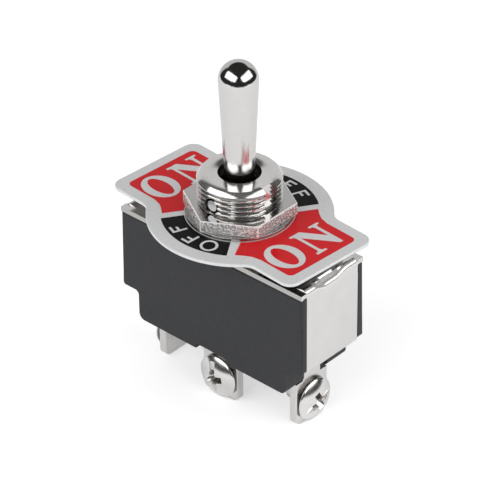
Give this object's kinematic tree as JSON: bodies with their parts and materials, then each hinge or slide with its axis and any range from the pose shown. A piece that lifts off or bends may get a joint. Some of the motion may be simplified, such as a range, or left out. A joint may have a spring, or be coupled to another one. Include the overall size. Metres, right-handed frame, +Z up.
{
  "type": "toggle switch",
  "caption": "Maintained panel toggle switch: bat lever in a threaded bushing, winged ON and OFF indicator plate, folded frame over a moulded housing, screw terminals below.",
  "frame": {"origin": "in the plane of the terminals' feet, on the bushing's axis", "axes": "+Z up the bushing and lever, +X along the housing towards the keyway, in the plane that the lever swings in"},
  "size_m": [0.0364, 0.026, 0.0526],
  "materials": {
    "moulding": "satin phenolic",
    "frame_plating": "satin nickel plate",
    "fibre": "vulcanised fibre",
    "bright_plating": "bright nickel plate",
    "spring_wire": "drawn wire",
    "plunger_brass": "turned",
    "contact_strip": "rolled copper alloy",
    "contact_silver": "silver",
    "terminal_plating": "satin nickel plate on brass",
    "screw_plating": "bright nickel plate on steel",
    "plate_aluminium": "brushed, with red and black enamel fields"
  },
  "bodies": {
    "base": {"housing": "moulding", "frame": "frame_plating", "insulator_card": "fibre", "bushing": "bright_plating", "pivot_pin": "bright_plating", "hex_nut": "bright_plating", "lower_nut": "bright_plating", "flat_washer": "bright_plating", "lock_washer": "bright_plating", "rocker_cradle": "contact_strip", "rocker_pin": "contact_strip", "fixed_contact_left": "contact_silver", "fixed_contact_right": "contact_silver", "terminal_left": "terminal_plating", "terminal_centre": "terminal_plating", "terminal_right": "terminal_plating", "screw_left": "screw_plating", "screw_centre": "screw_plating", "screw_right": "screw_plating", "indicator_plate": "plate_aluminium"},
    "lever": {"lever": "bright_plating", "lever_spring": "spring_wire"},
    "plunger": {"plunger": "plunger_brass"},
    "rocker": {"rocker": "contact_strip", "rocker_contact_left": "contact_silver", "rocker_contact_right": "contact_silver"}
  },
  "joints": [
    {"name": "lever_tilt", "type": "hinge", "parent": "base", "child": "lever", "pos_m": [0, 0, 0.0324], "axis": [0, 1, 0], "range_deg": [-12.5, 12.5]},
    {"name": "plunger_slide", "type": "slide", "parent": "lever", "child": "plunger", "axis": [0, 0, 1], "range_m": [0, 0.0007], "stiffness_N_per_m": 1500, "springref_m": -0.002, "deforming": ["lever_spring"]},
    {"name": "rocker_tilt", "type": "hinge", "parent": "base", "child": "rocker", "pos_m": [0, 0, 0.01495], "axis": [0, 1, 0], "range_deg": [-7, 7]}
  ],
  "couplings": [
    {"joint": "rocker_tilt", "follows": "lever_tilt", "ratio": -0.56}
  ]
}
